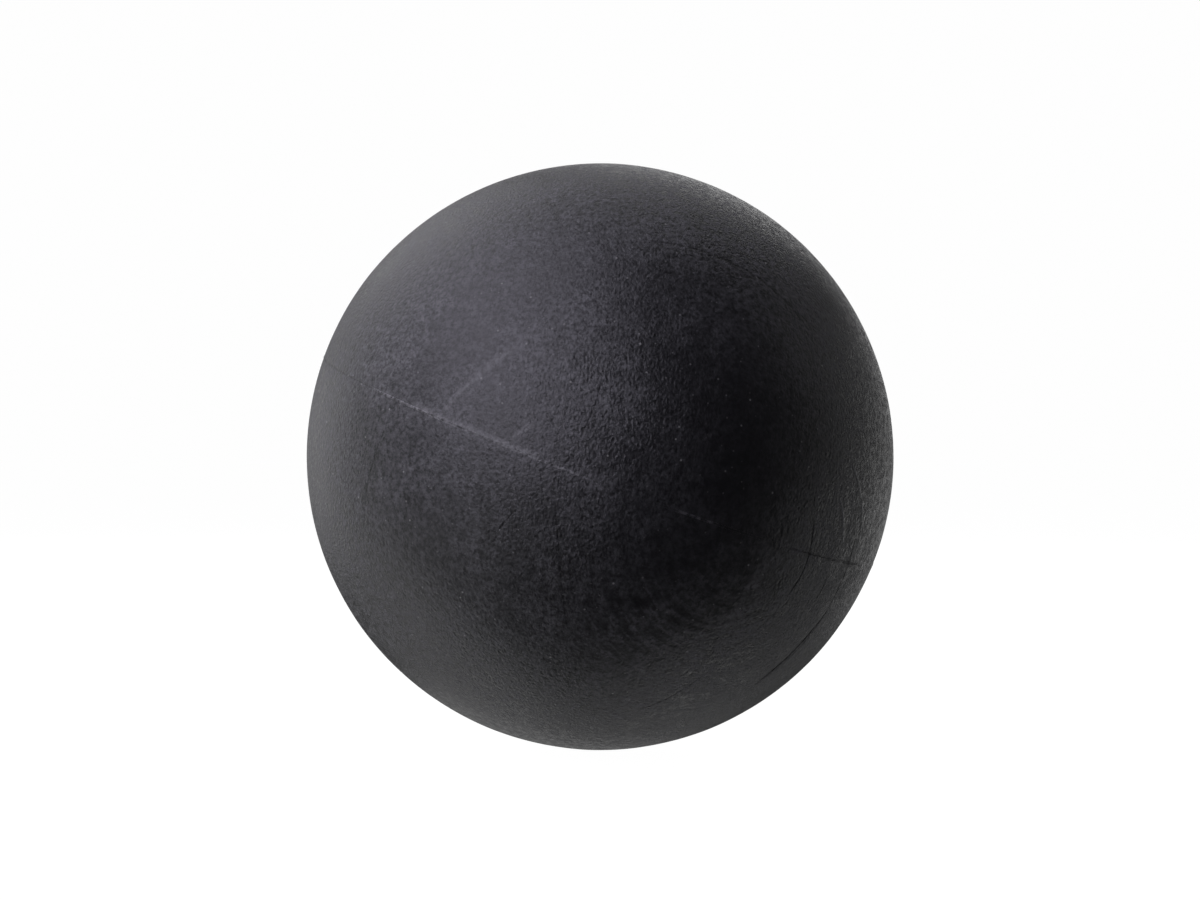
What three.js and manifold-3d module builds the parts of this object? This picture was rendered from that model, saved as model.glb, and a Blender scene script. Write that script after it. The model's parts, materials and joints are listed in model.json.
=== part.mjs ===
// Medicine ball: an inflated rubber ball with a heavy wall, laid up in layers and cured in a
// two-part mould. From the inside out it has a butyl bladder with its valve, a nylon thread
// winding, a thin carcass layer, six heavy ballast panels and a cover in two halves. Bonding
// rubber fills the joint between the halves and stands out as the bead of the parting line.
// Millimetres, +Z up, with the origin at the ball's centre.

import * as THREE from "three";
import { mergeVertices } from "three/addons/utils/BufferGeometryUtils.js";
import Module from "manifold-3d";

// ---- driving dimensions ----
const ballDiameter = 230;
const coverThickness = 4;
const ballastThickness = 8;
const carcassThickness = 1.2;
const windingThickness = 1;
const bladderThickness = 2.2;
const coverClearance = 0.6; // the cover's flat facets dip this far towards the ballast
const layerClearance = 0.3; // between layers that share their facets
const panelCount = 6;
const panelGap = 0.4;

const bondThickness = 0.8;
const bondBead = 0.15; // how far the parting line stands proud of the cover
const bondClearance = 0.1;

const valveFaceRecess = 0.8; // below the ball's full radius
const stemRadius = 7;
const stemClearance = 0.4;
const boreRadius = 3.3;
const headBoreRadius = 4.6;
const headBoreDepth = 1.6;
const slitRadius = 0.8;
const flangeRadius = 18;
const flangeThickness = 2;
const flangeRimThickness = 0.8;
const flangeTaperRadius = 11; // where the flange starts to thin towards its rim
const tailRadius = 5.2;
const tailDepth = 9; // below the flange
const tailFloor = 2;

const coreClearance = 0.2;
const coreHeadThickness = 1.3;
const coreTipLength = 1.6;
const coreTipRadius = 1.6;
const coreRibDepth = 0.35;
const coreGrooveCount = 4;
const needleRadius = 0.9;
const needleDepth = 12;
const needleMouth = 1.6;
const needleMouthDepth = 1;

const valvePatchRadius = 27;
const balancePatchRadius = 22;
const patchThickness = 1;
const balancePatchThickness = 2.2;

// How the ball lies: the parting line's tilt to the right and towards the viewer, and how far
// round the parting line the valve sits from the straight back, in degrees.
const seamRoll = 20.6;
const seamPitch = 4;
const valveTurn = 28;

// ---- how finely round shapes are divided ----
const coverSegments = 48;
const coverRings = 12;
const layerSegments = 30;
const layerRings = 15;
const valveSegments = 24;
const patchRings = 4;

// ---- radii of the layers, from the outside in ----
const coverOuter = ballDiameter / 2;
const coverInner = coverOuter - coverThickness;
const ballastOuter = coverInner - coverClearance;
const ballastInner = ballastOuter - ballastThickness;
const carcassOuter = ballastInner - layerClearance;
const carcassInner = carcassOuter - carcassThickness;
const windingOuter = carcassInner - layerClearance;
const windingInner = windingOuter - windingThickness;
const bladderOuter = windingInner - layerClearance;
const bladderInner = bladderOuter - bladderThickness;
const patchOuter = bladderInner - coverClearance;
const valvePatchInner = patchOuter - patchThickness;
const flangeOuter = valvePatchInner - coverClearance;
const flangeInner = flangeOuter - flangeThickness;

const valveFace = coverOuter - valveFaceRecess;
const stemHoleRadius = stemRadius + stemClearance;

const wasm = await Module();
wasm.setup();

// ---- closed meshes as solids, and back ----
function solidFrom(geometry) {
  const positionsOnly = geometry.clone();
  positionsOnly.deleteAttribute("normal");
  positionsOnly.deleteAttribute("uv");
  const merged = mergeVertices(positionsOnly, 1e-4);
  return new wasm.Manifold(
    new wasm.Mesh({
      numProp: 3,
      vertProperties: merged.attributes.position.array,
      triVerts: new Uint32Array(merged.index.array),
    }),
  );
}

function geometryFrom(solid) {
  const mesh = solid.getMesh();
  const geometry = new THREE.BufferGeometry();
  geometry.setAttribute("position", new THREE.BufferAttribute(mesh.vertProperties, 3));
  geometry.setIndex(new THREE.BufferAttribute(mesh.triVerts, 1));
  geometry.computeVertexNormals();
  return geometry;
}

// ---- profiles for turned shapes: x is the distance from the axis, y runs along it ----
// Points of a circle about the ball's centre, at angles measured from the +y pole.
function arc(radius, fromAngle, toAngle, steps) {
  const points = [];
  for (let i = 0; i <= steps; i += 1) {
    const angle = fromAngle + ((toAngle - fromAngle) * i) / steps;
    points.push(new THREE.Vector2(radius * Math.sin(angle), radius * Math.cos(angle)));
  }
  return points;
}

// Puts a profile's first or last point exactly on the axis.
function onAxis(points, index) {
  points.at(index).x = 0;
  return points;
}

function closed(points) {
  return [...points, points[0].clone()];
}

// The angle from the pole at which a sphere of this radius meets a round hole.
function holeAngle(radius, holeRadius) {
  return Math.asin(holeRadius / radius);
}

// A whole sphere shell with one round hole at the +y pole. It is turned by half a facet, so
// that the joints between the ballast panels cross the middles of the facets.
function shellWithHole(outer, inner, holeRadius) {
  const outside = arc(outer, Math.PI, holeAngle(outer, holeRadius), layerRings);
  const inside = arc(inner, holeAngle(inner, holeRadius), Math.PI, layerRings);
  const profile = [...onAxis(outside, 0), ...onAxis(inside, -1)];
  return new THREE.LatheGeometry(profile, layerSegments).rotateY(Math.PI / layerSegments);
}

// A dished ring or disc cut from a sphere shell, centred on the +y pole.
function dishedDisc(outer, inner, radius, holeRadius) {
  const inside = arc(inner, holeAngle(inner, holeRadius), holeAngle(inner, radius), patchRings);
  const outside = arc(outer, holeAngle(outer, radius), holeAngle(outer, holeRadius), patchRings);
  const profile = holeRadius > 0
    ? closed([...inside, ...outside])
    : [...onAxis(inside, 0), ...onAxis(outside, -1)];
  return new THREE.LatheGeometry(profile, layerSegments);
}

// ---- cover: two halves and the bond between them, turned about the seam's pole (+Z) ----
function aboutSeamPole(profile) {
  return new THREE.LatheGeometry(profile, coverSegments).rotateX(Math.PI / 2);
}

const valveHoleCutter = solidFrom(
  new THREE.CylinderGeometry(stemHoleRadius, stemHoleRadius, 4 * coverThickness, valveSegments)
    .translate(0, coverOuter, 0),
);

function coverHalf() {
  const edge = bondThickness / 2 + bondClearance;
  const inside = arc(coverInner, 0, Math.acos(edge / coverInner), coverRings);
  const outside = arc(coverOuter, Math.acos(edge / coverOuter), 0, coverRings);
  return aboutSeamPole([...onAxis(inside, 0), ...onAxis(outside, -1)]);
}

function coverUpperHalf() {
  return geometryFrom(solidFrom(coverHalf()).subtract(valveHoleCutter));
}

function coverLowerHalf() {
  const turnedOver = coverHalf().rotateY(Math.PI);
  return geometryFrom(solidFrom(turnedOver).subtract(valveHoleCutter));
}

function seamBondRing() {
  const half = bondThickness / 2;
  const outer = coverOuter + bondBead;
  const profile = closed([
    new THREE.Vector2(coverInner, -half),
    new THREE.Vector2(outer - half, -half),
    new THREE.Vector2(outer, 0),
    new THREE.Vector2(outer - half, half),
    new THREE.Vector2(coverInner, half),
  ]);
  return geometryFrom(solidFrom(aboutSeamPole(profile)).subtract(valveHoleCutter));
}

// ---- ballast: gores that meet at the valve and opposite it ----
// A wedge about the valve axis (+Y), held back from its edges by half the gap between panels.
function panelWedge(index) {
  const spread = Math.PI / panelCount;
  const apex = panelGap / 2 / Math.sin(spread);
  const reach = (2 * ballastOuter) / Math.cos(spread);
  const outline = new THREE.Shape([
    new THREE.Vector2(apex, 0),
    new THREE.Vector2(apex + reach * Math.cos(spread), -reach * Math.sin(spread)),
    new THREE.Vector2(apex + reach * Math.cos(spread), reach * Math.sin(spread)),
  ]);
  const height = 3 * ballastOuter;
  return new THREE.ExtrudeGeometry(outline, { depth: height, bevelEnabled: false })
    .translate(0, 0, -height / 2)
    .rotateX(Math.PI / 2)
    .rotateY((2 * Math.PI * (index + 0.5)) / panelCount);
}

const ballastShell = solidFrom(shellWithHole(ballastOuter, ballastInner, stemHoleRadius));

function ballastPanel(index) {
  return geometryFrom(ballastShell.intersect(solidFrom(panelWedge(index))));
}

// ---- valve, turned about its axis (+Y); y is the distance from the ball's centre ----
function valveHousing() {
  const headSeat = valveFace - headBoreDepth;
  const tailEnd = flangeInner - tailDepth;
  const boreFloor = tailEnd + tailFloor;
  const flangeRim = flangeOuter - flangeRimThickness;
  const flangeUnder = arc(
    flangeInner,
    holeAngle(flangeInner, tailRadius),
    holeAngle(flangeInner, flangeTaperRadius),
    patchRings,
  );
  const flangeTop = arc(
    flangeOuter,
    holeAngle(flangeOuter, flangeRadius),
    holeAngle(flangeOuter, stemRadius),
    patchRings,
  );
  const profile = closed([
    new THREE.Vector2(slitRadius, tailEnd),
    new THREE.Vector2(tailRadius - tailFloor, tailEnd),
    new THREE.Vector2(tailRadius, boreFloor),
    ...flangeUnder,
    new THREE.Vector2(flangeRadius, Math.sqrt(flangeRim ** 2 - flangeRadius ** 2)),
    ...flangeTop,
    new THREE.Vector2(stemRadius, valveFace),
    new THREE.Vector2(headBoreRadius, valveFace),
    new THREE.Vector2(headBoreRadius, headSeat),
    new THREE.Vector2(boreRadius, headSeat),
    new THREE.Vector2(boreRadius, boreFloor),
    new THREE.Vector2(slitRadius, boreFloor),
  ]);
  return new THREE.LatheGeometry(profile, valveSegments);
}

function valveCore() {
  const stem = boreRadius - coreClearance;
  const head = headBoreRadius - coreClearance;
  const groove = stem - coreRibDepth;
  const top = valveFace - coreClearance;
  const headUnderside = top - coreHeadThickness;
  const tip = flangeInner - tailDepth + tailFloor + coreClearance;
  const tipShoulder = tip + coreTipLength;
  const needleFloor = top - needleDepth;
  const ribPitch = (headUnderside - tipShoulder) / (2 * coreGrooveCount + 1);
  const grooves = [];
  for (let i = 0; i < coreGrooveCount; i += 1) {
    const foot = tipShoulder + (2 * i + 1) * ribPitch;
    grooves.push(new THREE.Vector2(stem, foot));
    grooves.push(new THREE.Vector2(groove, foot + coreRibDepth));
    grooves.push(new THREE.Vector2(groove, foot + ribPitch - coreRibDepth));
    grooves.push(new THREE.Vector2(stem, foot + ribPitch));
  }
  const profile = [
    new THREE.Vector2(0, tip),
    new THREE.Vector2(coreTipRadius, tip),
    new THREE.Vector2(stem, tipShoulder),
    ...grooves,
    new THREE.Vector2(stem, headUnderside),
    new THREE.Vector2(head, headUnderside),
    new THREE.Vector2(head, top),
    new THREE.Vector2(needleMouth, top),
    new THREE.Vector2(needleRadius, top - needleMouthDepth),
    new THREE.Vector2(needleRadius, needleFloor + needleRadius),
    new THREE.Vector2(0, needleFloor),
  ];
  return new THREE.LatheGeometry(profile, valveSegments);
}

// ---- materials ----
function rubber(color, roughness) {
  return new THREE.MeshStandardMaterial({ color, roughness, metalness: 0 });
}

const coverRubber = 0x1e1d20;
const bondRubber = 0x2a292c;
const ballastRubber = 0x37363a;
const carcassRubber = 0x6b5138;
const windingNylon = 0xd8d2c2;
const butylRubber = 0x141416;
const patchGum = 0x5a2f22;
const housingRubber = 0x1a1a1c;
const coreRubber = 0x4a3a2e;

// ---- assembly ----
const medicineBall = new THREE.Group();
const turned = new THREE.Group();
turned.rotation.set(
  THREE.MathUtils.degToRad(seamPitch),
  THREE.MathUtils.degToRad(seamRoll),
  THREE.MathUtils.degToRad(valveTurn),
  "YXZ",
);
medicineBall.add(turned);

function place(name, geometry, material) {
  const mesh = new THREE.Mesh(geometry, material);
  mesh.name = name;
  turned.add(mesh);
}

place("cover_upper_half", coverUpperHalf(), rubber(coverRubber, 0.6));
place("cover_lower_half", coverLowerHalf(), rubber(coverRubber, 0.6));
place("seam_bond_ring", seamBondRing(), rubber(bondRubber, 0.55));

for (let i = 0; i < panelCount; i += 1) {
  place(`ballast_panel_${i + 1}`, ballastPanel(i), rubber(ballastRubber, 0.8));
}

place(
  "carcass_layer",
  shellWithHole(carcassOuter, carcassInner, stemHoleRadius),
  rubber(carcassRubber, 0.7),
);
place(
  "thread_winding",
  shellWithHole(windingOuter, windingInner, stemHoleRadius),
  rubber(windingNylon, 0.85),
);
place(
  "bladder",
  shellWithHole(bladderOuter, bladderInner, stemHoleRadius),
  rubber(butylRubber, 0.45),
);
place(
  "valve_patch",
  dishedDisc(patchOuter, valvePatchInner, valvePatchRadius, stemHoleRadius),
  rubber(patchGum, 0.6),
);
place(
  "balance_patch",
  dishedDisc(patchOuter, patchOuter - balancePatchThickness, balancePatchRadius, 0)
    .rotateX(Math.PI),
  rubber(patchGum, 0.6),
);
place("valve_housing", valveHousing(), rubber(housingRubber, 0.5));
place("valve_core", valveCore(), rubber(coreRubber, 0.5));

export default medicineBall;
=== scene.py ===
"""The looks of the medicine ball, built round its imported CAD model.

A worn black rubber cover in two halves with the flow lines of its mould, the parting line
between them, the valve, and the layers inside. Lengths are metres unless a name ends in _mm.
"""

import json
import math
from dataclasses import dataclass

import bpy
import numpy as np
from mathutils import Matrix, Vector, noise


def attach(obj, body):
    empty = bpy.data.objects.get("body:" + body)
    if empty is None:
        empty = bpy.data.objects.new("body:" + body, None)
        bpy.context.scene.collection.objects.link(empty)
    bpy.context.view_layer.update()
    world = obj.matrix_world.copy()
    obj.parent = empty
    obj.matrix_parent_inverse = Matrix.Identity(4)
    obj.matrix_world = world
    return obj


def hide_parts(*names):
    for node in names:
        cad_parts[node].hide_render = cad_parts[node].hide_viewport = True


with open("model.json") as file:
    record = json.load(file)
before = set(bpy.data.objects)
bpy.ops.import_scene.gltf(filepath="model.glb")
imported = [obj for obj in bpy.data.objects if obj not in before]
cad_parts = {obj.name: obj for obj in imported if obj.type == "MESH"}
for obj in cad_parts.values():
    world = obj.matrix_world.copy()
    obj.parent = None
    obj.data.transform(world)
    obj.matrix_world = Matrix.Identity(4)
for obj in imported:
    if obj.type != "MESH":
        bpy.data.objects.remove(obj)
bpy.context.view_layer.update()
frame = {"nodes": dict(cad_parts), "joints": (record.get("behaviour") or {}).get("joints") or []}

MM = 0.001
TINY = 1e-12


# ---- the ball, read from the frame ----
def points_of(node):
    """A CAD node's points as an array."""
    mesh = frame["nodes"][node].data
    flat = np.zeros(len(mesh.vertices) * 3)
    mesh.vertices.foreach_get("co", flat)
    return flat.reshape(-1, 3)


def unit(vectors):
    return vectors / np.linalg.norm(vectors, axis=-1, keepdims=True)


def seam_pole(valve_axis):
    """The upward direction square to the parting line, from the bond ring's own points."""
    ring = points_of("seam_bond_ring")
    axis = np.linalg.svd(ring - ring.mean(axis=0), full_matrices=False)[2][-1]
    square = unit(axis - (axis @ valve_axis) * valve_axis)
    return square * np.sign(square[2])


BALL_RADIUS = np.linalg.norm(points_of("cover_upper_half"), axis=1).max()
VALVE_AXIS = unit(np.array(frame["joints"][0]["axis"]))
POLE = seam_pole(VALVE_AXIS)
SEAM_SIDE = unit(np.cross(VALVE_AXIS, POLE))

# ---- the camera's place ----
CAMERA_DISTANCE = 5.5  # ball radii from the ball's centre
BALL_SHARE = 0.4894  # of the frame's width that the ball fills
SENSOR_WIDTH_MM = 36
FRAME_DROP = 0.0055  # how far the ball sits below the middle of the frame, in frame widths


def on_ball(right, up):
    """The direction of the spot that the camera sees at this place on the ball's disc."""
    spread = 1 / math.sqrt(CAMERA_DISTANCE**2 - 1)
    ray = unit(np.array([right * spread, 1, up * spread]))
    towards = CAMERA_DISTANCE * ray[1]
    travel = towards - math.sqrt(max(0, towards**2 - CAMERA_DISTANCE**2 + 1))
    return unit(np.array([0, -CAMERA_DISTANCE, 0]) + travel * ray)


# ---- shapes of one variable ----
def smooth(t):
    t = np.clip(t, 0, 1)
    return t * t * (3 - 2 * t)


def between(x, low, high, fade):
    """1 from low to high, falling smoothly to 0 over the fade outside them."""
    return smooth((x - low) / fade + 1) * smooth((high - x) / fade + 1)


def hump(x, width):
    return np.exp(-((x / width) ** 2))


def rough_value(points, size, seed, octaves=2):
    """Smooth noise from -1 to 1 over points, whose features are about this size."""
    shift = Vector((seed * 7.3, seed * 3.1, seed * 5.7))
    scaled = points / size
    return np.array(
        [noise.fractal(Vector(p) + shift, 1.0, 2.0, octaves) for p in scaled]
    )


# ---- lines that the flowing rubber left in the cover ----
@dataclass
class Line:
    """Part of a circle on the ball through three places on the disc that the camera sees."""

    start: tuple
    middle: tuple
    end: tuple
    kind: str
    height_mm: float
    width_mm: float
    dust: float = 0.0
    wander_mm: float = 0.12

    def across_and_along(self, directions):
        """How far each direction is across the line and along it, and the line's length."""
        a, b, c = (on_ball(*place) for place in (self.start, self.middle, self.end))
        axis = unit(np.cross(b - a, c - b))
        opening = math.acos(axis @ a)
        first = unit(a - (a @ axis) * axis)
        second = np.cross(axis, first)

        def turn(v):
            return np.arctan2(v @ second, v @ first)

        middle = turn(b) % (2 * math.pi)
        angle = (turn(directions) - middle + math.pi) % (2 * math.pi) - math.pi + middle
        scale = BALL_RADIUS * math.sin(opening)
        along = angle * scale
        length = (turn(c) % (2 * math.pi)) * scale
        across = (np.arccos(np.clip(directions @ axis, -1, 1)) - opening) * BALL_RADIUS
        wave = np.sin(along / WANDER_LENGTH) + np.sin(along / WANDER_LENGTH * SECOND_WAVE)
        return across + self.wander_mm * MM * wave, along, length

    def shape(self, directions):
        """The line's height, its dust and how much painted shade darkens its groove, for each
        direction.
        """
        across, along, length = self.across_and_along(directions)
        fade = LINE_FADE * length
        reach = between(along, fade, length - fade, fade)
        width = self.width_mm * MM
        body = hump(across, width)
        if self.kind == "lap":
            body = smooth(across / width + 0.5) * np.exp(-np.maximum(across, 0) / LAP_LENGTH)
        mark = hump(across, width) * reach
        # How far painted shade darkens a groove, by how deep it is.
        crease = min(1, max(0, -self.height_mm) / FULL_SHADE_DEPTH_MM) if self.kind == "groove" else 0
        return self.height_mm * MM * body * reach, self.dust * mark, crease * mark

    def spacing(self, directions):
        """The longest edge that can show the line at each direction."""
        across, along, length = self.across_and_along(directions)
        width = self.width_mm * MM
        near = between(along, 0, length, LINE_MARGIN) > 0
        graded = LINE_STEP * width + GRADING * np.maximum(np.abs(across) - LINE_BAND * width, 0)
        return np.where(near, graded, 1.0)


WANDER_LENGTH = 2.6 * MM
SECOND_WAVE = 0.37
LINE_FADE = 0.22  # of a line's length, at each end
LINE_MARGIN = 1 * MM
# A groove this deep gets the full painted shade.
FULL_SHADE_DEPTH_MM = 0.20
LINE_STEP = 0.75  # of a line's width
LINE_BAND = 1.4  # line widths that stay fine on each side of it
LAP_LENGTH = 5 * MM

LINES = (
    # The rings round the spot opposite the valve, from the right limb inwards.
    Line((0.88, -0.20), (0.77, -0.53), (0.51, -0.79), "groove", -0.12, 0.32),
    Line((0.77, -0.53), (0.65, -0.672), (0.50, -0.797), "groove", -0.28, 0.48),
    Line((0.775, -0.40), (0.757, -0.45), (0.725, -0.50), "groove", -0.12, 0.34),
    Line((0.722, -0.19), (0.70, -0.37), (0.62, -0.50), "groove", -0.15, 0.32),
    Line((0.62, -0.50), (0.54, -0.585), (0.44, -0.655), "groove", -0.06, 0.32),
    Line((0.38, -0.72), (0.27, -0.80), (0.12, -0.87), "groove", -0.10, 0.32),
    Line((0.42, 0.29), (0.61, 0.33), (0.84, 0.24), "lap", 0.05, 0.60),
    Line((0.23, -0.10), (0.31, 0.02), (0.43, 0.10), "lap", -0.09, 0.60, 0.10),
    Line((0.81, -0.13), (0.83, -0.24), (0.82, -0.32), "ridge", 0.14, 0.45, 1.0, 0.25),
    Line((0.855, -0.02), (0.892, -0.17), (0.88, -0.31), "ridge", 0.14, 0.45, 1.0, 0.20),
    Line((0.04, 0.72), (0.41, 0.68), (0.75, 0.37), "groove", -0.05, 0.45),
    # The left side: a welt that crosses the parting line, and lines below it.
    Line((-0.25, 0.40), (-0.42, 0.27), (-0.56, 0.12), "ridge", 0.07, 0.90, 0.35),
    Line((-0.53, 0.15), (-0.58, 0.08), (-0.61, 0.02), "ridge", 0.03, 0.80, 0.10),
    Line((-0.31, 0.05), (-0.27, 0.08), (-0.22, 0.12), "ridge", 0.05, 0.90, 0.40),
    Line((-0.71, 0.14), (-0.79, -0.09), (-0.80, -0.28), "groove", -0.06, 0.36),
    Line((-0.28, -0.175), (-0.325, -0.222), (-0.356, -0.268), "groove", -0.09, 0.30),
    # Hair lines down the middle.
    Line((0.02, 0.38), (-0.01, 0.20), (-0.15, -0.07), "groove", -0.07, 0.32),
    Line((-0.16, -0.10), (-0.13, -0.42), (-0.11, -0.62), "groove", -0.04, 0.34),
)


# ---- the parting line ----
@dataclass
class Stretch:
    """What the parting line does from one course to another, in degrees to the right."""

    start: float
    end: float
    fade: float
    upper_mm: float = 0.0
    lower_mm: float = 0.0
    bead_mm: float = 0.0
    groove_mm: float = 0.0
    ragged_mm: float = 0.0
    dust: float = 0.0
    scuff: float = 0.0


STRETCHES = (
    Stretch(-72, -50, 8, lower_mm=-0.06, bead_mm=-0.04, groove_mm=0.05),
    Stretch(-43, -34, 4, lower_mm=-0.06, bead_mm=0.16, ragged_mm=0.22, dust=0.2, scuff=0.6),
    Stretch(-32, -12, 4, upper_mm=0.08, lower_mm=-0.07, ragged_mm=0.08, dust=1.0, scuff=0.35),
    Stretch(-9, -2, 3, upper_mm=0.02, lower_mm=-0.03, ragged_mm=0.20, dust=0.2, scuff=0.5),
    Stretch(17, 21, 3, bead_mm=0.06, ragged_mm=0.06, dust=0.05, scuff=0.25),
    Stretch(40, 62, 4, bead_mm=-0.18, groove_mm=0.08, ragged_mm=0.10),
    Stretch(65, 84, 4, upper_mm=-0.05, lower_mm=0.12, bead_mm=0.02, dust=0.3, scuff=0.4),
    Stretch(105, 275, 20, upper_mm=0.02, lower_mm=-0.05, bead_mm=0.14, ragged_mm=0.12, scuff=0.45),
)
RAG_LENGTH = 1.1 * MM
SEAM_LIP = 1.6 * MM  # how far from the parting line its lips reach
RAGGED_LIP = SEAM_LIP / 4
LIP_RAGGED_SHARE = 1 / 3  # how ragged the lips are beside the bead
SEAM_ROUNDING = 0.35 * MM
# How far the painted shade in the parting line's groove reaches from it.
SEAM_SHADE_REACH = 0.50 * MM
BOND_HALF = 0.40 * MM
COVER_EDGE = 0.42 * MM


def course_of(directions):
    """Degrees round the parting line, to the right from the middle of the camera's side."""
    front = unit(np.array([0, -1, 0]) + POLE[1] * POLE)
    right = np.cross(front, POLE)
    right = right * np.sign(right[0])
    course = np.degrees(np.arctan2(directions @ right, directions @ front))
    return np.where(course < FIRST_COURSE, course + 360, course)


FIRST_COURSE = -75


def along_seam(directions, part):
    """One of the stretches' values at each direction's course, summed over the stretches."""
    course = course_of(directions)
    total = np.zeros(len(directions))
    for stretch in STRETCHES:
        window = between(course, stretch.start, stretch.end, stretch.fade)
        total += window * getattr(stretch, part)
    return total


def raggedness(directions):
    """A rough value along the parting line, the same on both of its sides."""
    flat = directions - np.outer(directions @ POLE, POLE)
    length = np.maximum(np.linalg.norm(flat, axis=1, keepdims=True), TINY)
    return rough_value(flat / length * BALL_RADIUS, RAG_LENGTH, 4, 3)


# ---- the cover's surface ----
VALVE_HOLE = 7.4 * MM
HOLE_ROUNDING = 0.7 * MM
COLLAR_HEIGHT = 0.28 * MM
COLLAR_RADIUS = 13 * MM
COLLAR_SLOPE = 2.2 * MM


def from_valve_axis(points):
    """Distance from the valve's axis on the valve's side of the ball, and far on the other."""
    away = np.linalg.norm(points - np.outer(points @ VALVE_AXIS, VALVE_AXIS), axis=-1)
    return np.where(points @ VALVE_AXIS > 0, away, 1.0)


def from_seam(directions):
    return np.abs(np.arcsin(np.clip(directions @ POLE, -1, 1))) * BALL_RADIUS


def seam_height(directions, side):
    """How the lip beside the parting line rises or falls; side is 1 above it and -1 below."""
    far = from_seam(directions)
    lip = along_seam(directions, "upper_mm" if side > 0 else "lower_mm")
    ragged = along_seam(directions, "ragged_mm") * raggedness(directions) * LIP_RAGGED_SHARE
    edge = smooth(1 - (far - COVER_EDGE) / SEAM_ROUNDING)
    sunk = along_seam(directions, "groove_mm") * edge
    return (lip * hump(far, SEAM_LIP) + ragged * hump(far, RAGGED_LIP) - sunk) * MM


def valve_height(points):
    """The low moulded collar round the valve and the rounded edge of its hole."""
    away = from_valve_axis(points)
    collar = COLLAR_HEIGHT * smooth((COLLAR_RADIUS - away) / COLLAR_SLOPE + 0.5)
    inset = np.clip((away - VALVE_HOLE) / HOLE_ROUNDING, 0, 1)
    return collar - HOLE_ROUNDING * (1 - np.sqrt(1 - (1 - inset) ** 2))


SWELL_MM = 0.16
SWELL_SIZE = 55 * MM
DIMPLE_MM = 0.035
DIMPLE_SIZE = 11 * MM


def cover_height(directions, side):
    """How far the worn cover stands above the true sphere, for each direction."""
    points = directions * BALL_RADIUS
    height = SWELL_MM * MM * rough_value(points, SWELL_SIZE, 1)
    height += DIMPLE_MM * MM * rough_value(points, DIMPLE_SIZE, 2)
    for line in LINES:
        height += line.shape(directions)[0]
    return height - HEADROOM + seam_height(directions, side) + valve_height(points)


HEADROOM = 0.10 * MM  # so that the swells stay within the ball's size

# ---- meshes that are fine only where the surface needs it ----
FINE = 0.36 * MM
COARSE_FRONT = 2.4 * MM
COARSE_BACK = 3.6 * MM
INNER_SPACING = 6 * MM
FRONT_LIMIT = 0.15  # along Y, in ball radii: the camera's side ends a little past the outline
FINE_BAND = 0.6 * MM
GRADING = 0.9


def outer_spacing(directions):
    """The longest edge allowed in the cover's outer face at each direction."""
    points = directions * BALL_RADIUS
    distance = from_seam(directions)
    distance = np.minimum(distance, np.abs(from_valve_axis(points) - VALVE_HOLE))
    spacing = FINE + GRADING * np.maximum(distance - FINE_BAND, 0)
    for line in LINES:
        spacing = np.minimum(spacing, line.spacing(directions))
    return np.minimum(spacing, np.where(directions[:, 1] < FRONT_LIMIT, COARSE_FRONT, COARSE_BACK))


def inner_spacing(directions):
    """The same for its inner face, which needs only the outer face's edge at the seam."""
    distance = from_seam(directions)
    return np.minimum(FINE + GRADING * distance, INNER_SPACING)


def split_faces(faces, sides, middles):
    """Each face cut at the middles of those of its sides that have one."""
    cut = middles[sides] >= 0
    count = cut.sum(axis=1)
    made = [faces[count == 0]]
    for number in (1, 2, 3):
        chosen = count == number
        f, s, c = faces[chosen], sides[chosen], cut[chosen]
        # Turn each face so that its cut sides come first.
        if number == 1:
            first = np.argmax(c, axis=1)
        elif number == 2:
            first = (np.argmin(c, axis=1) + 1) % 3
        else:
            first = np.zeros(len(f), int)
        order = (first[:, None] + np.arange(3)) % 3
        a, b, c = np.take_along_axis(f, order, axis=1).T
        ab, bc, ca = middles[np.take_along_axis(s, order, axis=1)].T
        if number == 1:
            made += [np.stack(t, 1) for t in ((a, ab, c), (ab, b, c))]
        elif number == 2:
            made += [np.stack(t, 1) for t in ((ab, b, bc), (a, ab, bc), (a, bc, c))]
        else:
            made += [np.stack(t, 1) for t in ((a, ab, ca), (ab, b, bc), (ca, bc, c), (ab, bc, ca))]
    return np.vstack(made)


FINEST = 0.2 * MM
ON_RIM = 1e-9  # the rim's points lie this close to the seam's plane, in ball radii


def refined_hemisphere(side, spacing, rounds=24):
    """Directions and faces of the half of a sphere on one side of the parting line."""
    pole = side * POLE
    rim = [SEAM_SIDE, side * VALVE_AXIS, -SEAM_SIDE, -side * VALVE_AXIS]
    points = np.array([pole, *rim])
    faces = np.array([(0, 1, 2), (0, 2, 3), (0, 3, 4), (0, 4, 1)])
    for _ in range(rounds):
        corners = np.sort(np.stack([faces, np.roll(faces, -1, axis=1)], axis=2), axis=2)
        keys, index = np.unique(corners @ np.array([len(points), 1]), return_inverse=True)
        ends = np.stack(np.divmod(keys, len(points)), axis=1)
        sides = index.reshape(-1, 3)
        middle = unit(points[ends].mean(axis=1))
        length = np.linalg.norm(points[ends[:, 0]] - points[ends[:, 1]], axis=1) * BALL_RADIUS
        on_rim = np.abs(middle @ POLE) < ON_RIM
        split = length > np.where(on_rim, FINE, FINEST)
        inside = split & ~on_rim
        split[inside] = length[inside] > spacing(middle[inside])
        if not split.any():
            break
        longest = np.take_along_axis(sides, np.argmax(length[sides], axis=1)[:, None], axis=1)[:, 0]
        while True:
            needed = longest[split[sides].any(axis=1)]
            needed = needed[~on_rim[needed]]
            if split[needed].all():
                break
            split[needed] = True
        middles = np.full(len(ends), -1)
        middles[split] = len(points) + np.arange(split.sum())
        points = np.vstack([points, middle[split]])
        faces = split_faces(faces, sides, middles)
    return points, faces


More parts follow.
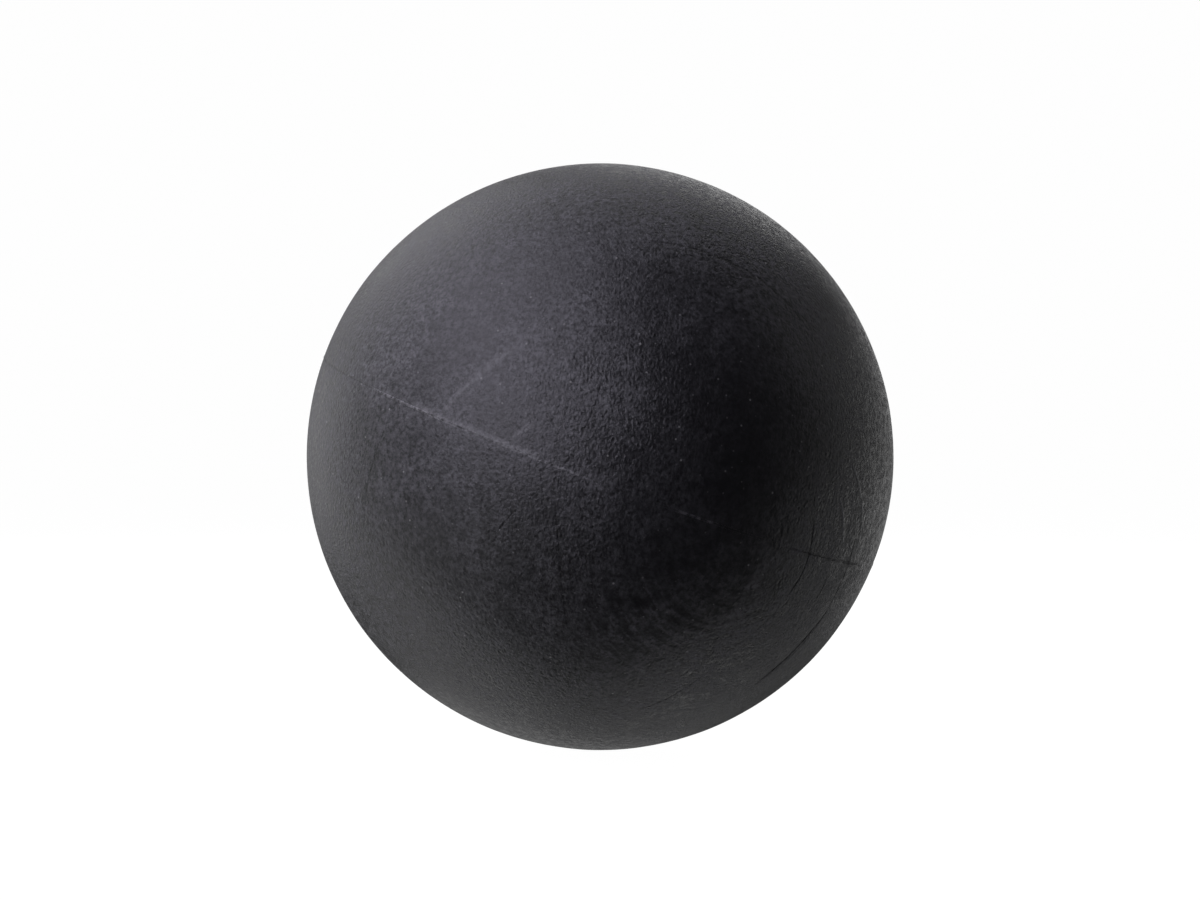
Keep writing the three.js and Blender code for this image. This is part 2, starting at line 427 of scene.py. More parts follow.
def moved_to_edge(directions, side, radius):
    """Directions squeezed slightly towards the pole, so that the rim stops at the cover's edge."""
    height = directions @ (side * POLE)
    angle = np.arccos(np.clip(height, -1, 1))
    squeezed = angle * math.acos(COVER_EDGE / radius) / (math.pi / 2)
    flat = directions - np.outer(height, side * POLE)
    length = np.linalg.norm(flat, axis=1, keepdims=True)
    flat = flat / np.maximum(length, TINY)
    return np.cos(squeezed)[:, None] * (side * POLE) + np.sin(squeezed)[:, None] * flat


def rim_loop(points, faces):
    """The open rim's corners in order, running with the faces."""
    corners = np.stack([faces, np.roll(faces, -1, axis=1)], axis=2).reshape(-1, 2)
    keys = corners[:, 0] * len(points) + corners[:, 1]
    back = corners[:, 1] * len(points) + corners[:, 0]
    open_sides = corners[~np.isin(keys, back)]
    follow = dict(open_sides.tolist())
    loop = [open_sides[0, 0]]
    while len(loop) < len(open_sides):
        loop.append(follow[loop[-1]])
    return np.array(loop)


def new_piece(name, points, faces):
    mesh = bpy.data.meshes.new(name)
    mesh.from_pydata(points.tolist(), [], faces.tolist())
    mesh.validate()
    piece = bpy.data.objects.new(name, mesh)
    bpy.context.scene.collection.objects.link(piece)
    return piece


def turned_solid(profile, segments):
    """Points and faces of a closed profile of (radius, height) turned about the valve's axis."""
    angles = np.arange(segments) * 2 * math.pi / segments
    around = np.outer(np.cos(angles), SEAM_SIDE) + np.outer(np.sin(angles), POLE)
    profile = np.array(profile)
    points = profile[:, 0][None, :, None] * around[:, None, :]
    points = points + profile[:, 1][None, :, None] * VALVE_AXIS
    return swept(points)


def swept(rings):
    """One closed surface through rings of points that follow each other round a loop."""
    count, size = rings.shape[:2]
    here = np.arange(count)[:, None] * size + np.arange(size)[None, :]
    ahead = np.roll(here, -1, axis=0)
    quads = np.stack([here, np.roll(here, -1, axis=1), np.roll(ahead, -1, axis=1), ahead], axis=-1)
    return rings.reshape(-1, 3), quads.reshape(-1, 4)


def valve_cutter():
    """A closed cylinder along the valve's axis, wide enough for the stem's hole."""
    angles = np.arange(CUTTER_SEGMENTS) * 2 * math.pi / CUTTER_SEGMENTS
    around = np.outer(np.cos(angles), POLE) + np.outer(np.sin(angles), SEAM_SIDE)
    ends = [VALVE_HOLE * around + height * BALL_RADIUS * VALVE_AXIS for height in CUTTER_REACH]
    near = np.arange(CUTTER_SEGMENTS)
    ahead = np.roll(near, -1)
    walls = np.stack([near, ahead, ahead + CUTTER_SEGMENTS, near + CUTTER_SEGMENTS], axis=1)
    faces = walls.tolist() + [near[::-1].tolist(), (near + CUTTER_SEGMENTS).tolist()]
    mesh = bpy.data.meshes.new("valve_cutter")
    mesh.from_pydata(np.vstack(ends).tolist(), [], faces)
    cutter = bpy.data.objects.new("valve_cutter", mesh)
    bpy.context.scene.collection.objects.link(cutter)
    return cutter


CUTTER_SEGMENTS = 160
CUTTER_REACH = (0.9, 1.1)


def cut_valve_hole(piece):
    cutter = valve_cutter()
    hole = piece.modifiers.new("valve hole", "BOOLEAN")
    hole.operation = "DIFFERENCE"
    hole.solver = "MANIFOLD"
    hole.object = cutter
    settled = bpy.data.meshes.new_from_object(
        piece.evaluated_get(bpy.context.evaluated_depsgraph_get())
    )
    piece.modifiers.clear()
    piece.data = settled
    bpy.data.objects.remove(cutter)


def shade(piece, angle=40):
    """Smooth shading with sharp edges kept where the surface turns by more than the angle."""
    piece.data.shade_smooth()
    piece.data.set_sharp_from_angle(angle=math.radians(angle))


# ---- where the cover is dusty and where its grain is deep ----
@dataclass
class Patch:
    """A soft round area at a place on the disc that the camera sees."""

    place: tuple
    size: float
    amount: float


GRAIN_PATCHES = (
    Patch((-0.05, 0.25), 0.45, 0.35),
    Patch((0.05, 0.10), 0.28, 0.35),
    Patch((-0.12, -0.25), 0.26, 0.50),
    Patch((0.85, -0.30), 0.25, 0.20),
)
GRAIN_BASE = 0.60
DUST_PATCHES = (
    Patch((-0.45, 0.45), 0.60, 0.26),
    Patch((-0.24, 0.22), 0.24, 0.26),
    Patch((-0.10, -0.25), 0.34, 0.06),
    Patch((-0.35, -0.65), 0.40, 0.04),
    Patch((0.68, -0.55), 0.22, 0.24),
    Patch((0.35, -0.85), 0.28, 0.22),
    Patch((0.45, 0.05), 0.40, -0.08),
)
DUST_BASE = 0.10
RIM_START = -0.55  # a rougher belt, paler with dust and a painted sheen, runs round the outline the camera sees, between these places along Y
RIM_END = 0.15
RIM_FADE = 0.38
RIM_GRAIN = 0.8
STREAK_PATCHES = (
    Patch((0.70, -0.50), 0.24, 0.9),
    Patch((0.48, -0.72), 0.22, 0.9),
    Patch((0.25, -0.88), 0.22, 0.7),
    Patch((0.80, -0.30), 0.18, 0.5),
    Patch((0.15, -0.60), 0.22, 0.3),
)
RING_POLE = on_ball(0.50, -0.27)  # the spot that the rings on the right go round


def patched(directions, patches, base):
    total = np.full(len(directions), base)
    for patch in patches:
        apart = np.linalg.norm(directions - on_ball(*patch.place), axis=1)
        total += patch.amount * hump(apart, patch.size)
    return total


def store(piece, name, values):
    layer = piece.data.attributes.new(name, "FLOAT", "POINT")
    layer.data.foreach_set("value", values.astype(np.float32))


def ring_place(directions):
    """How far each direction is from the rings' middle, and how far along its ring."""
    across = np.arccos(np.clip(directions @ RING_POLE, -1, 1)) * BALL_RADIUS
    first = unit(np.cross(RING_POLE, POLE))
    second = np.cross(RING_POLE, first)
    towards_limb = unit(on_ball(0.6, -0.75) - RING_POLE)
    start = math.atan2(towards_limb @ second, towards_limb @ first)
    turn = np.arctan2(directions @ second, directions @ first) - start
    return across, ((turn + math.pi) % (2 * math.pi) - math.pi) * BALL_RADIUS / 2


def paint_surface(piece, side):
    """Writes how dusty, grainy and streaky each point of an outer piece is, how much painted shade
    darkens its grooves, and where its belt of dust and painted sheen lies.
    """
    flat = np.zeros(len(piece.data.vertices) * 3)
    piece.data.vertices.foreach_get("co", flat)
    directions = unit(flat.reshape(-1, 3))
    rim = between(directions[:, 1], RIM_START, RIM_END, RIM_FADE)
    area = patched(directions, DUST_PATCHES, DUST_BASE)
    marks = np.zeros(len(directions))
    groove_shades = np.zeros(len(directions))
    for line in LINES:
        _, mark, crease = line.shape(directions)
        marks += mark
        groove_shades += crease
    far = from_seam(directions)
    marks += along_seam(directions, "dust") * LIP_DUST[side] * hump(far, SEAM_LIP)
    # Painted shade in the parting line's groove as well.
    groove_shades += along_seam(directions, "groove_mm") / FULL_SHADE_DEPTH_MM * hump(far, SEAM_SHADE_REACH)
    across, along = ring_place(directions)
    store(piece, "area_dust", np.clip(area, 0, 1))
    store(piece, "rim", rim)
    store(piece, "mark", np.clip(marks, 0, 1))
    store(piece, "crease", np.clip(groove_shades, 0, 1))
    grain = patched(directions, GRAIN_PATCHES, GRAIN_BASE) + RIM_GRAIN * rim
    store(piece, "grain", np.clip(grain, 0, 1.5))
    store(piece, "streaky", np.clip(patched(directions, STREAK_PATCHES, 0.0), 0, 1))
    if side == 0:
        store(piece, "scuff", np.clip(along_seam(directions, "scuff"), 0, 1))
    store(piece, "ring_across", across)
    store(piece, "ring_along", along)


LIP_DUST = {1: 0.65, 0: 0.25, -1: 0.05}  # above the parting line, on its bead and below it


# ---- materials ----
class Look:
    """A material being wired up: each call adds a node and returns what the next one needs."""

    def __init__(self, name):
        self.material = bpy.data.materials.new(name)
        self.material.use_nodes = True
        self.tree = self.material.node_tree
        self.shader = self.tree.nodes["Principled BSDF"]
        self.place = self.node("ShaderNodeTexCoord").outputs["Object"]

    def node(self, kind, inputs=None, **settings):
        made = self.tree.nodes.new(kind)
        for name, value in settings.items():
            setattr(made, name, value)
        for name, value in (inputs or {}).items():
            self.put(made.inputs[name], value)
        return made

    def put(self, socket, value):
        if isinstance(value, bpy.types.NodeSocket):
            self.tree.links.new(value, socket)
        else:
            socket.default_value = value

    def math(self, operation, first, second=0.0, clamp=False):
        made = self.node("ShaderNodeMath", {0: first, 1: second}, operation=operation)
        made.use_clamp = clamp
        return made.outputs[0]

    def add(self, first, second):
        return self.math("ADD", first, second)

    def times(self, first, second):
        return self.math("MULTIPLY", first, second)

    def noise(self, size_mm, detail=2.0, roughness=0.5, distortion=0.0, place=None):
        """Noise from 0 to 1 with features of about this size."""
        inputs = {
            "Vector": self.place if place is None else place,
            "Scale": 1 / (size_mm * MM),
            "Detail": detail,
            "Roughness": roughness,
            "Distortion": distortion,
        }
        return self.node("ShaderNodeTexNoise", inputs).outputs["Fac"]

    def cells(self, size_mm, feature="SMOOTH_F1", output="Distance", place=None, smoothness=0.6):
        """Distance to the middle of rounded cells of this size, or the cell's own colour."""
        inputs = {"Vector": self.place if place is None else place, "Scale": 1 / (size_mm * MM)}
        made = self.node("ShaderNodeTexVoronoi", feature=feature)
        if feature == "SMOOTH_F1":
            inputs["Smoothness"] = smoothness
        for name, value in inputs.items():
            self.put(made.inputs[name], value)
        return made.outputs[output]

    def stretched(self, along, factor):
        """The place squeezed along a direction, so that features grow longer that way."""
        turn = Vector(along).to_track_quat("Z", "Y").to_euler()
        made = self.node("ShaderNodeMapping", {"Vector": self.place}, vector_type="TEXTURE")
        made.inputs["Rotation"].default_value = turn
        made.inputs["Scale"].default_value = (1, 1, factor)
        return made.outputs["Vector"]

    def span(self, value, low, high, to_low=0.0, to_high=1.0):
        """The value mapped from one range to another and held within it."""
        inputs = {
            "Value": value,
            "From Min": low,
            "From Max": high,
            "To Min": to_low,
            "To Max": to_high,
        }
        return self.node("ShaderNodeMapRange", inputs, clamp=True).outputs["Result"]

    def mix(self, amount, first, second):
        made = self.node("ShaderNodeMix", data_type="RGBA")
        self.put(made.inputs["Factor"], amount)
        self.put(made.inputs["A"], first)
        self.put(made.inputs["B"], second)
        return made.outputs["Result"]

    def joined(self, x, y):
        """A place made of two values."""
        return self.node("ShaderNodeCombineXYZ", {"X": x, "Y": y}).outputs["Vector"]

    def attribute(self, name):
        return self.node("ShaderNodeAttribute", attribute_name=name).outputs["Fac"]

    def bump(self, height, depth_mm, strength=1.0):
        inputs = {"Height": height, "Distance": depth_mm * MM, "Strength": strength}
        return self.node("ShaderNodeBump", inputs).outputs["Normal"]

    def finish(self, **values):
        for name, value in values.items():
            self.put(self.shader.inputs[name.replace("_", " ")], value)
        return self.material


def grey(level, blue=1.0):
    return (level, level, level * blue, 1)


RUBBER_BLACK = grey(0.0075, 1.1)
# The darker black painted into grooves as their shade.
GROOVE_SHADE_BLACK = grey(0.0035, 1.05)
# The grey of dust, also painted as a sheen on the belt round the outline.
DUST_AND_SHEEN_GREY = grey(0.11, 1.06)
LINT_GREY = grey(0.34, 0.97)
SCUFF_GREY = grey(0.20, 1.04)


def worn_rubber(name):
    """Moulded black rubber with an orange-peel grain, a mottled bloom, streaks, specks, painted
    shade in its grooves and a belt of dust and painted sheen round the outline the camera sees.
    """
    look = Look(name)
    crease = look.attribute("crease")
    rim = look.attribute("rim")
    peel = look.noise(1.0, detail=3, roughness=0.6, distortion=0.1)
    pebbles = look.cells(1.15, smoothness=0.6)
    upright = look.noise(0.85, detail=2, place=look.stretched((0.1, 0, 1), 2.0))
    regional = look.span(look.noise(38, detail=1), 0.35, 0.65, 0.75, 1.2)
    ring = look.joined(look.attribute("ring_across"), look.times(look.attribute("ring_along"), 0.07))
    streaks = look.noise(1.8, detail=4, roughness=0.6, place=ring)
    streaky = look.attribute("streaky")
    height = look.add(look.times(peel, 0.8), look.times(pebbles, -0.45))
    height = look.add(height, look.times(upright, 0.55))
    height = look.times(height, look.times(look.attribute("grain"), regional))
    height = look.add(height, look.times(look.times(streaks, streaky), 0.9))
    # The dust lies unevenly: thin in the pits, in soft blotches and drawn out along the rings.
    pits = look.span(look.noise(1.5, detail=3, roughness=0.7), 0.38, 0.60, 0.08, 1.7)
    blotch = look.span(look.noise(4.2, detail=3, roughness=0.6), 0.38, 0.62, 0.65, 1.35)
    cloud = look.span(look.noise(24, detail=3), 0.36, 0.66, 0.65, 1.4)
    drawn = look.span(streaks, 0.42, 0.62, -0.16, 0.60)
    smeared = look.span(look.noise(6.5, detail=3), 0.40, 0.60, -0.22, 0.36)
    rim_dust_and_sheen = look.span(look.noise(2.0, detail=4, roughness=0.7), 0.38, 0.64, -0.35, 1.0)
    dust = look.times(look.times(look.attribute("area_dust"), blotch), cloud)
    dust = look.add(dust, look.times(look.add(drawn, smeared), streaky))
    # The belt round the outline the camera sees gets a paler powder: dust and a painted sheen.
    dust = look.add(look.times(dust, pits), look.times(look.times(rim, rim_dust_and_sheen), 0.68))
    # Painted shade: the grooves lose their dust and turn a darker black, as if shade lay in them.
    dust = look.math("ADD", dust, look.times(crease, -0.8), clamp=True)
    colour = look.mix(crease, RUBBER_BLACK, GROOVE_SHADE_BLACK)
    colour = look.mix(dust, colour, DUST_AND_SHEEN_GREY)
    # Pale wear: along welts and the parting line's lips, and on its bead where that is scuffed.
    scuff = look.span(look.noise(1.5, detail=3, roughness=0.7), 0.42, 0.58, 0.0, 1.3)
    wear = look.times(look.attribute("mark"), look.span(pits, 0.08, 1.7, 0.6, 1.2))
    wear = look.math("ADD", wear, look.times(scuff, look.attribute("scuff")), clamp=True)
    colour = look.mix(wear, colour, SCUFF_GREY)
    speck = look.span(look.cells(3.9, feature="F1"), 0.05, 0.12, 1.0, 0.0)
    chosen = look.span(look.noise(6, detail=1), 0.50, 0.62)
    colour = look.mix(look.times(look.times(speck, chosen), 0.55), colour, LINT_GREY)
    fleck = look.span(look.cells(2.3, feature="F1"), 0.05, 0.16, 1.0, 0.0)
    few = look.span(look.noise(4.4, detail=1), 0.52, 0.66)
    colour = look.mix(look.times(look.times(fleck, few), 0.35), colour, LINT_GREY)
    roughness = look.span(dust, 0, 0.8, 0.32, 0.66)
    roughness = look.add(roughness, look.span(pits, 0.08, 1.7, 0.10, 0.0))
    roughness = look.add(roughness, look.times(crease, 0.35))
    return look.finish(
        Base_Color=colour,
        Roughness=roughness,
        Normal=look.bump(height, 0.27),
        Specular_IOR_Level=0.5,
    )


def moulded_rubber(name, colour, worn, roughness, grain_mm=0.7, depth_mm=0.04):
    """A small moulded rubber part: fine grain, slight mottling and paler worn spots."""
    look = Look(name)
    mottle = look.span(look.noise(2.5, detail=4, roughness=0.65), 0.4, 0.75)
    fine = look.noise(grain_mm, detail=3)
    shown = look.mix(mottle, colour, worn)
    rough = look.span(fine, 0.3, 0.7, roughness - 0.06, roughness + 0.08)
    return look.finish(Base_Color=shown, Roughness=rough, Normal=look.bump(fine, depth_mm))


def ballast_rubber():
    """Heavy filled rubber: dull grey-black with mineral specks and calender lines."""
    look = Look("ballast_rubber")
    speck = look.span(look.cells(0.9, feature="F1"), 0.1, 0.22, 1.0, 0.0)
    chosen = look.span(look.noise(1.8), 0.5, 0.58)
    lines = look.noise(1.6, detail=3, place=look.stretched(VALVE_AXIS, 9))
    cloud = look.noise(14, detail=4)
    colour = look.mix(cloud, grey(0.022), grey(0.05))
    colour = look.mix(look.times(speck, chosen), colour, grey(0.22))
    height = look.add(look.times(lines, 0.7), look.times(look.noise(0.6), 0.3))
    return look.finish(Base_Color=colour, Roughness=0.82, Normal=look.bump(height, 0.14))


def carcass_rubber():
    """The thin tie layer: tan natural rubber over the threads, which print through it."""
    look = Look("carcass_rubber")
    print_through = look.noise(1.1, detail=2, place=look.stretched((0.6, 0.2, 0.77), 14))
    cloud = look.noise(18, detail=4)
    colour = look.mix(cloud, (0.13, 0.075, 0.04, 1), (0.22, 0.135, 0.075, 1))
    colour = look.mix(look.span(print_through, 0.55, 0.75), colour, (0.28, 0.19, 0.12, 1))
    return look.finish(
        Base_Color=colour, Roughness=0.62, Normal=look.bump(print_through, 0.12)
    )


def winding_nylon():
    """Off-white nylon thread wound in crossing great circles, seen as crossing fine ribs."""
    look = Look("winding_nylon")
    wraps = []
    for along in ((1, 0.2, 0.1), (0.1, 1, 0.4), (0.3, -0.5, 1)):
        place = look.stretched(along, 25)
        wraps.append(look.noise(0.9, detail=1, place=place))
    height = look.math("MAXIMUM", look.math("MAXIMUM", wraps[0], wraps[1]), wraps[2])
    colour = look.mix(look.span(height, 0.5, 0.75), (0.33, 0.29, 0.22, 1), (0.66, 0.62, 0.54, 1))
    return look.finish(
        Base_Color=colour,
        Roughness=0.55,
        Sheen_Weight=0.3,
        Normal=look.bump(height, 0.35),
    )


def butyl_rubber():
    """Smooth black bladder rubber with talc rubbed into it."""
    look = Look("butyl_rubber")
    talc = look.span(look.noise(7, detail=5, roughness=0.7, distortion=0.6), 0.48, 0.75)
    colour = look.mix(look.times(talc, 0.55), grey(0.012), grey(0.4))
    roughness = look.span(talc, 0, 1, 0.36, 0.85)
    normal = look.bump(look.noise(3.5, detail=3), 0.1)
    return look.finish(Base_Color=colour, Roughness=roughness, Normal=normal)


# ---- pieces ----
def cover_half(name, side):
    cover_inner = np.linalg.norm(points_of(name), axis=1).min()
    outer, outer_faces = refined_hemisphere(side, outer_spacing)
    inner, inner_faces = refined_hemisphere(side, inner_spacing)
    outer_rim = rim_loop(outer, outer_faces)
    inner_rim = rim_loop(inner, inner_faces)
    # Start both rims at the same corner.
    start = np.argmin(np.linalg.norm(inner[inner_rim] - outer[outer_rim[0]], axis=1))
    inner_rim = np.roll(inner_rim, -start) + len(outer)
    outer = moved_to_edge(outer, side, BALL_RADIUS)
    inner = moved_to_edge(inner, side, cover_inner)
    height = cover_height(outer, side)
    points = np.vstack([outer * (BALL_RADIUS + height)[:, None], inner * cover_inner])
    low, high = outer_rim, np.roll(outer_rim, -1)
    low_inner, high_inner = inner_rim, np.roll(inner_rim, -1)
    walls = [np.stack(t, 1) for t in ((high, low, low_inner), (high, low_inner, high_inner))]
    faces = np.vstack([outer_faces, inner_faces[:, ::-1] + len(outer), *walls])
    piece = new_piece(name + "_rubber", points, faces)
    cut_valve_hole(piece)
    paint_surface(piece, side)
    shade(piece)
    return piece


BEAD_STEPS = 2400
BEAD_PROFILE = 9


def bond_ring():
    """The bonding rubber between the halves, with its uneven bead along the outside."""
    angles = np.arange(BEAD_STEPS) * 2 * math.pi / BEAD_STEPS
    directions = np.outer(np.cos(angles), SEAM_SIDE) + np.outer(np.sin(angles), VALVE_AXIS)
    ragged = along_seam(directions, "ragged_mm") * raggedness(directions)
    crest = (along_seam(directions, "bead_mm") + ragged) * MM
    upper = cover_height(moved_to_edge(directions, 1, BALL_RADIUS), 1)
    lower = cover_height(moved_to_edge(directions, -1, BALL_RADIUS), -1)
    inner = np.linalg.norm(points_of("cover_upper_half"), axis=1).min() * directions
    rings = [inner - BOND_HALF * POLE]
    for share in np.linspace(-1, 1, BEAD_PROFILE):
        ramp = lower + (upper - lower) * (share + 1) / 2
        rise = ramp + crest * math.sqrt(1 - share**2)
        rings.append((BALL_RADIUS + rise)[:, None] * directions + share * BOND_HALF * POLE)
    rings.append(inner + BOND_HALF * POLE)
    points, faces = swept(np.stack(rings, axis=1))
    piece = new_piece("parting_line_bond", points, faces[:, ::-1])
    cut_valve_hole(piece)
    paint_surface(piece, 0)
    shade(piece, 60)
    return piece


VALVE_SEGMENTS = 128


def rounded(profile, radius, steps=4):
    """A closed profile with its corners cut by short arcs, where there is room for them."""
    made = []
    count = len(profile)
    for i in range(count):
        before, here, after = (np.array(profile[(i + k) % count]) for k in (-1, 0, 1))
        back, ahead = before - here, after - here
        room = min(radius, np.linalg.norm(back) / 2, np.linalg.norm(ahead) / 2)
        enter = here + unit(back) * room
        leave = here + unit(ahead) * room
        for k in range(steps + 1):
            t = k / steps
            made.append((1 - t) ** 2 * enter + 2 * t * (1 - t) * here + t**2 * leave)
    return made


def along_valve(node):
    """The lowest and highest distance from the ball's centre that a node reaches on the axis."""
    heights = points_of(node) @ VALVE_AXIS
    return heights.min(), heights.max()


def valve_housing():
    """The moulded rubber valve body: flange under the bladder, stem and bored tail."""
    low, face = along_valve("valve_housing")
    tail_floor = low + 2.0 * MM
    flange_outer, flange_inner = 94.9 * MM, 92.9 * MM
    seat = face - 1.6 * MM
    stem, rim = 7.0 * MM, 18.0 * MM
    needle, bore, head_bore = 0.8 * MM, 3.3 * MM, 4.6 * MM

    def dome(radius, distance):
        return (distance, math.sqrt(radius**2 - distance**2))

    flange_under = [dome(flange_inner, r * MM) for r in (5.2, 6.6, 8.0, 9.5, 11.0)]
    flange_top = [dome(flange_outer, r * MM) for r in (18.0, 15.4, 12.6, 9.8, 7.0)]
    profile = [
        (needle, low),
        (3.2 * MM, low),
        (5.2 * MM, tail_floor),
        *flange_under,
        dome(flange_outer - 0.8 * MM, rim),
        *flange_top,
        (stem, face - 1.1 * MM),
        (6.8 * MM, face - 0.9 * MM),
        (stem, face - 0.7 * MM),
        (stem, face - 0.1 * MM),
        (6.3 * MM, face),
        (6.1 * MM, face - 0.18 * MM),
        (5.6 * MM, face - 0.18 * MM),
        (5.4 * MM, face),
        (head_bore, face),
        (head_bore, seat),
        (bore, seat),
        (bore, tail_floor),
        (needle, tail_floor),
    ]
    points, faces = turned_solid(rounded(profile, 0.22 * MM), VALVE_SEGMENTS)
    piece = new_piece("valve_housing_rubber", points, faces)
    shade(piece, 50)
    return piece


def valve_core():
    """The grooved plug that seals on the inflating needle, with its dished head."""
    low, top = along_valve("valve_core")
    stem, groove, head = 3.1 * MM, 2.75 * MM, 4.4 * MM
    under_head = top - 1.3 * MM
    shoulder = low + 1.6 * MM
    needle = 0.9 * MM
    pitch = (under_head - shoulder) / 9
    grooves = []
    for i in range(4):
        foot = shoulder + (2 * i + 1) * pitch
        grooves += [
            (stem, foot),
            (groove, foot + 0.35 * MM),
            (groove, foot + pitch - 0.35 * MM),
            (stem, foot + pitch),
        ]
    profile = [
        (0.02 * MM, low),
        (1.6 * MM, low),
        (stem, shoulder),
        *grooves,
        (stem, under_head),
        (head, under_head),
        (head, top - 0.15 * MM),
        (3.9 * MM, top),
        (3.4 * MM, top),
        (3.1 * MM, top - 0.22 * MM),
        (2.2 * MM, top - 0.3 * MM),
        (1.7 * MM, top - 0.3 * MM),
        (needle, top - 1.0 * MM),
        (needle, top - 11.4 * MM),
        (0.02 * MM, top - 12 * MM),
    ]
    points, faces = turned_solid(rounded(profile, 0.18 * MM), VALVE_SEGMENTS)
    piece = new_piece("valve_core_plug", points, faces)
    shade(piece, 50)
    return piece


# ---- stage ----
FLOOR_SIZE = 60.0
WHITE = 0.99  # how bright the backdrop and the floor look
LIGHT_DISTANCE = 1.5


@dataclass
class SoftBox:
    """A round light: degrees right of the camera's side and up, width, watts and colour."""

    name: str
    right: float
    up: float
    width: float
    watts: float
    colour: tuple = (1, 1, 1)


VIOLET = (1.04, 1.0, 1.17)
# Most of these directions and watts come from a least-squares fit to the photograph's shading,
# made by another program. report.md says how, and that this breaks a rule of the brief.
SOFT_BOXES = (
    SoftBox("key_left", -36, 20, 1.0, 9.3, VIOLET),
    SoftBox("front_fill", -10, 24, 0.6, 0.4, VIOLET),
    SoftBox("left_top", -45, 65, 1.0, 4.6, VIOLET),
    SoftBox("left_high", -78, 42, 1.0, 4.4, VIOLET),
    SoftBox("left_front_low", -45, -20, 0.8, 1.6),
    SoftBox("left_side", -100, 10, 1.0, 1.2),
    SoftBox("left_side_low", -103, -20, 1.0, 1.4),
    SoftBox("left_low", -104, -40, 1.0, 2.3),
    SoftBox("back_left_high", -138, 42, 1.0, 4.2),
    SoftBox("back_left_middle", -132, 20, 1.0, 0.9),
    SoftBox("back_left", -127, 0, 1.0, 2.7),
    SoftBox("back_left_low", -128, -60, 1.0, 2.1),
    SoftBox("back_top", 180, 64, 1.0, 0.95),
    SoftBox("back_high", 162, 42, 1.0, 2.0),
    SoftBox("back", 170, 15, 1.0, 3.2),
    SoftBox("back_low", -170, -40, 1.0, 1.5),
    SoftBox("back_right", 143, 0, 1.0, 1.6),
    SoftBox("back_right_low", 128, -20, 1.0, 0.9),
    SoftBox("right_high", 110, 50, 1.0, 0.2),
    SoftBox("right_side", 108, 20, 1.0, 0.9),
    SoftBox("right_low", 103, -20, 1.0, 1.2),
    SoftBox("right_bottom", 128, -60, 1.0, 2.5),
)


def direction_of(right, up):
    a, e = math.radians(right), math.radians(up)
    return Vector((math.sin(a) * math.cos(e), -math.cos(a) * math.cos(e), math.sin(e)))


def add_soft_box(box):
    light = bpy.data.lights.new(box.name, "AREA")
    light.shape = "DISK"
    light.size = box.width
    light.energy = box.watts
    light.color = box.colour
    holder = bpy.data.objects.new(box.name, light)
    bpy.context.scene.collection.objects.link(holder)
    towards = direction_of(box.right, box.up)
    holder.location = towards * LIGHT_DISTANCE
    holder.rotation_euler = towards.to_track_quat("Z", "Y").to_euler()
    holder.visible_camera = False


def floor_material():
    look = Look("floor_white")
    tone = look.mix(look.noise(90, detail=2), grey(0.03), grey(0.035))
    return look.finish(
        Base_Color=tone, Roughness=0.9, Emission_Color=grey(1.0), Emission_Strength=WHITE
    )


def add_floor():
    """A pale floor that only the camera sees, so that the soft boxes alone light the ball."""
    half = FLOOR_SIZE / 2
    low = -BALL_RADIUS
    corners = [(-half, -half, low), (half, -half, low), (half, half, low), (-half, half, low)]
    mesh = bpy.data.meshes.new("floor")
    mesh.from_pydata(corners, [], [(0, 1, 2, 3)])
    floor = bpy.data.objects.new("floor", mesh)
    bpy.context.scene.collection.objects.link(floor)
    floor.data.materials.append(floor_material())
    floor.visible_glossy = False
    floor.visible_diffuse = False
    floor.visible_shadow = False


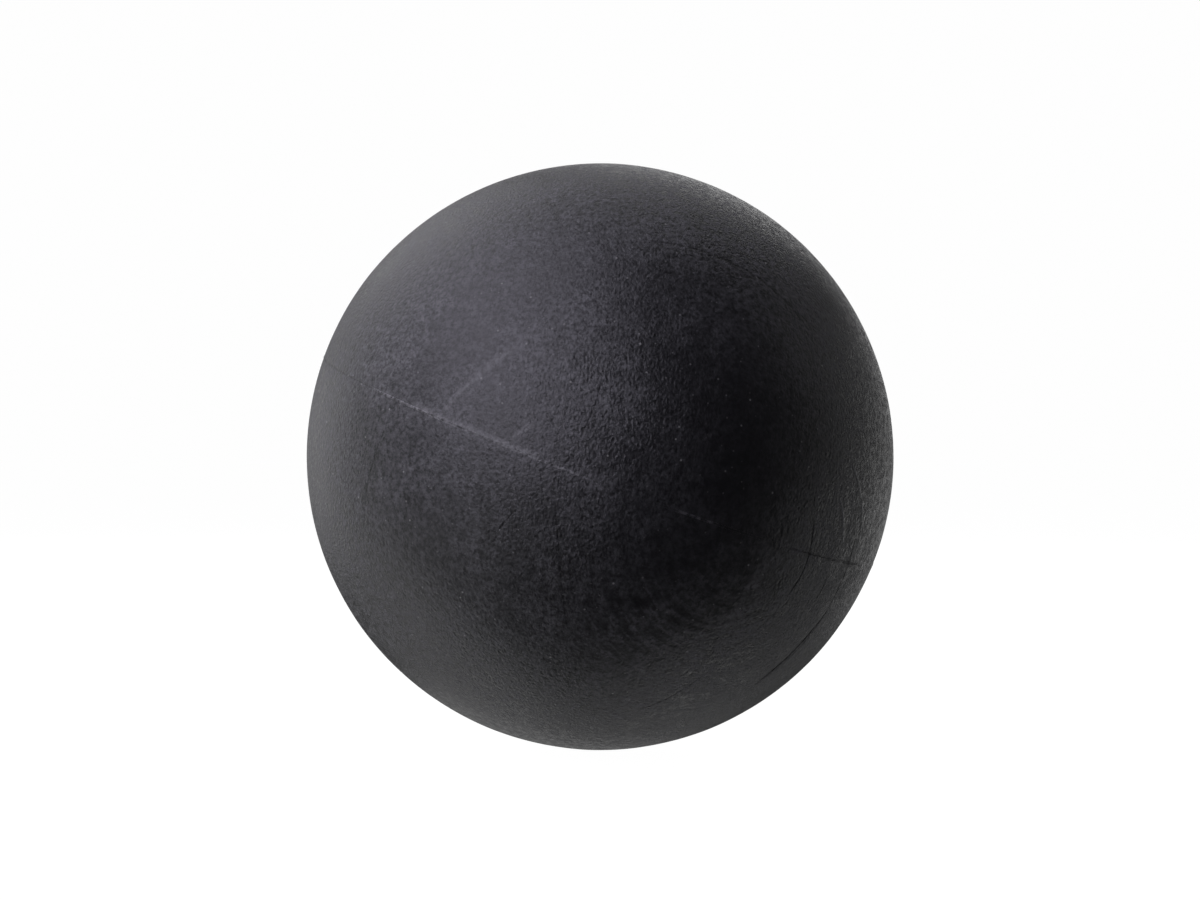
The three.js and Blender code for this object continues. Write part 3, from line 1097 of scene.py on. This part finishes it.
def add_surroundings():
    """A white backdrop that the camera sees and the ball doesn't."""
    world = bpy.data.worlds.new("white_surroundings")
    bpy.context.scene.world = world
    world.use_nodes = True
    world.node_tree.nodes["Background"].inputs["Color"].default_value = grey(WHITE)
    world.cycles_visibility.diffuse = False
    world.cycles_visibility.glossy = False
    bpy.context.scene.view_settings.view_transform = "Standard"


def add_camera():
    camera = bpy.data.cameras.new("camera")
    half_angle = math.tan(math.asin(1 / CAMERA_DISTANCE)) / BALL_SHARE
    camera.sensor_width = SENSOR_WIDTH_MM
    camera.lens = SENSOR_WIDTH_MM / 2 / half_angle
    camera.shift_y = FRAME_DROP
    holder = bpy.data.objects.new("camera", camera)
    bpy.context.scene.collection.objects.link(holder)
    holder.location = (0, -CAMERA_DISTANCE * BALL_RADIUS, 0)
    holder.rotation_euler = (math.pi / 2, 0, 0)
    bpy.context.scene.camera = holder


# ---- the object ----
def dress(piece, body, node, material):
    """Puts a new piece in place of its CAD node, with its body and material."""
    piece.data.materials.clear()
    piece.data.materials.append(material)
    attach(piece, body)
    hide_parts(node)


def paint_node(node, material):
    """Gives a carried-over CAD node a finished material in place of its plain one."""
    mesh = frame["nodes"][node].data
    mesh.materials.clear()
    mesh.materials.append(material)


def build():
    cover = worn_rubber("cover_rubber")
    for name, side in (("cover_upper_half", 1), ("cover_lower_half", -1)):
        dress(cover_half(name, side), "ball", name, cover)
    dress(bond_ring(), "ball", "seam_bond_ring", worn_rubber("bond_rubber"))
    housing = moulded_rubber("housing_rubber", grey(0.009), grey(0.03), 0.46)
    dress(valve_housing(), "ball", "valve_housing", housing)
    core = moulded_rubber("core_rubber", (0.05, 0.035, 0.025, 1), (0.09, 0.065, 0.05, 1), 0.5)
    dress(valve_core(), "valve_core", "valve_core", core)
    ballast = ballast_rubber()
    for node in sorted(n for n in frame["nodes"] if n.startswith("ballast_panel")):
        paint_node(node, ballast)
    paint_node("carcass_layer", carcass_rubber())
    paint_node("thread_winding", winding_nylon())
    paint_node("bladder", butyl_rubber())
    gum = moulded_rubber("patch_gum", (0.11, 0.035, 0.02, 1), (0.2, 0.08, 0.05, 1), 0.6, 1.2, 0.08)
    for node in ("valve_patch", "balance_patch"):
        paint_node(node, gum)


add_camera()
add_surroundings()
add_floor()
for soft_box in SOFT_BOXES:
    add_soft_box(soft_box)
build()
